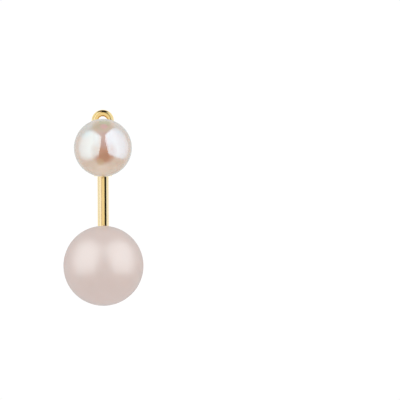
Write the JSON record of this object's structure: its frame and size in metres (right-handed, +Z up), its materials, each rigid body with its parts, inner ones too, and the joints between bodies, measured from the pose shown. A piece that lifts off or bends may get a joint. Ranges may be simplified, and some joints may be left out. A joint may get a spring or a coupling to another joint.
{
  "type": "pearl stud earring with ear jacket",
  "caption": "Pearl stud with a scroll clutch and a removable ear jacket: a ringed strip on the post carries a bent wire with a larger milky bead below the pearl.",
  "frame": {"origin": "on the post's axis, in the middle of the gap for the ear lobe", "axes": "+Z up, the pearl looks towards -Y, the post points towards +Y"},
  "size_m": [0.0082, 0.0186, 0.0204],
  "materials": {
    "pearl_nacre": "gloss",
    "polished_gold": "polished",
    "milky_stone": "gloss"
  },
  "bodies": {
    "stud": {"pearl": "pearl_nacre", "stud_post": "polished_gold"},
    "jacket": {"ear_jacket": "polished_gold", "drop_bead": "milky_stone"},
    "clutch": {"butterfly_clutch": "polished_gold"}
  },
  "joints": [
    {"name": "jacket_swing", "type": "hinge", "parent": "stud", "child": "jacket", "pos_m": [0, 0.00272, 0], "axis": [0, 1, 0], "continuous": true},
    {"name": "clutch_slide", "type": "slide", "parent": "stud", "child": "clutch", "axis": [0, 1, 0], "range_m": [0, 0.004]}
  ]
}
